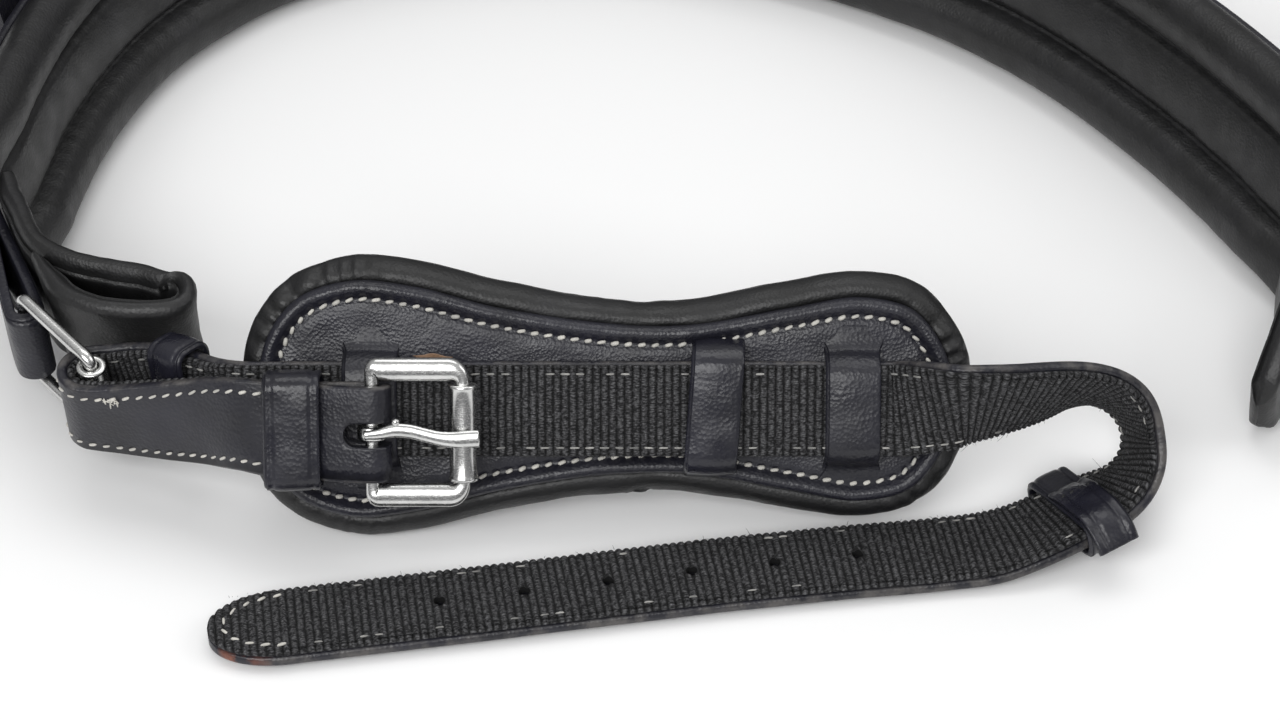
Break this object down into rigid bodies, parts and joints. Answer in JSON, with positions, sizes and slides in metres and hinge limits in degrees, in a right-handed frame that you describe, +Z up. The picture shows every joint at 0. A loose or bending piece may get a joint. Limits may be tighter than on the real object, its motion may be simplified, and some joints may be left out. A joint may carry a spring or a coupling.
{
  "type": "padded crank noseband collar for a horse's bridle",
  "caption": "Padded black leather nose collar for a horse's bridle, with a rollered double-back strap, roller buckle and sliding jaw pad.",
  "frame": {"origin": "on the table under the middle of the part's plan", "axes": "+X from the buckle end towards the free loop, +Y from the jaw strap towards the nose, +Z up across the band's width"},
  "size_m": [0.3016, 0.2446, 0.0696],
  "materials": {
    "black_leather": "satin",
    "soft_leather": "matt",
    "foam": "matt",
    "webbing": "matt woven",
    "steel": "polished"
  },
  "bodies": {
    "strap": {"strap_leather": "black_leather", "strap_webbing": "webbing", "buckle_keeper": "black_leather", "ring_keeper": "black_leather"},
    "left_loop": {"left_loop": "steel"},
    "left_loop_roller": {"left_loop_roller": "steel"},
    "band": {"band_face": "black_leather", "band_lining": "soft_leather", "band_padding": "foam", "left_hanger": "black_leather", "right_hanger": "black_leather", "left_chape": "black_leather", "right_chape": "black_leather", "left_flap": "soft_leather", "right_flap": "soft_leather"},
    "right_loop": {"right_loop": "steel"},
    "right_loop_roller": {"right_loop_roller": "steel"},
    "pad": {"pad_cover": "soft_leather", "pad_padding": "foam", "pad_plate": "black_leather", "pad_keeper": "black_leather"},
    "buckle": {"buckle_frame": "steel"},
    "buckle_roller": {"buckle_roller": "steel"},
    "buckle_tongue": {"buckle_tongue": "steel"},
    "tail_keeper": {"tail_keeper": "black_leather"}
  },
  "joints": [
    {"name": "left_loop_swing", "type": "hinge", "parent": "strap", "child": "left_loop", "pos_m": [-0.11245, -0.06945, 0.02015], "axis": [0, -0.1219, 0.9925], "range_deg": [-1, 40]},
    {"name": "left_roller_spin", "type": "hinge", "parent": "left_loop", "child": "left_loop_roller", "pos_m": [-0.11245, -0.06945, 0.02015], "axis": [0, -0.1219, 0.9925], "continuous": true},
    {"name": "band_swing", "type": "hinge", "parent": "left_loop", "child": "band", "pos_m": [-0.12781, -0.05313, 0.02216], "axis": [0, -0.1219, 0.9925], "range_deg": [-1, 30]},
    {"name": "right_loop_swing", "type": "hinge", "parent": "band", "child": "right_loop", "pos_m": [0.13002, -0.04924, 0.02116], "axis": [0, 0, 1], "range_deg": [-40, 40]},
    {"name": "right_roller_spin", "type": "hinge", "parent": "right_loop", "child": "right_loop_roller", "pos_m": [0.13752, -0.07034, 0.02116], "axis": [0, 0, 1], "continuous": true},
    {"name": "pad_slide", "type": "slide", "parent": "strap", "child": "pad", "axis": [1, 0, 0], "range_m": [-0.0025, 0.003]},
    {"name": "buckle_lift", "type": "hinge", "parent": "strap", "child": "buckle", "pos_m": [-0.05758, -0.08801, 0.02854], "axis": [0, -0.5299, -0.848], "range_deg": [0, 45]},
    {"name": "buckle_roller_spin", "type": "hinge", "parent": "buckle", "child": "buckle_roller", "pos_m": [-0.04058, -0.08801, 0.02854], "axis": [0, -0.5299, -0.848], "continuous": true},
    {"name": "tongue_lift", "type": "hinge", "parent": "buckle", "child": "buckle_tongue", "pos_m": [-0.05758, -0.08801, 0.02854], "axis": [0, -0.5299, -0.848], "range_deg": [0, 70]},
    {"name": "tail_keeper_slide", "type": "slide", "parent": "strap", "child": "tail_keeper", "axis": [-0.8676, -0.4854, -0.1078], "range_m": [-0.0015, 0.002]}
  ]
}
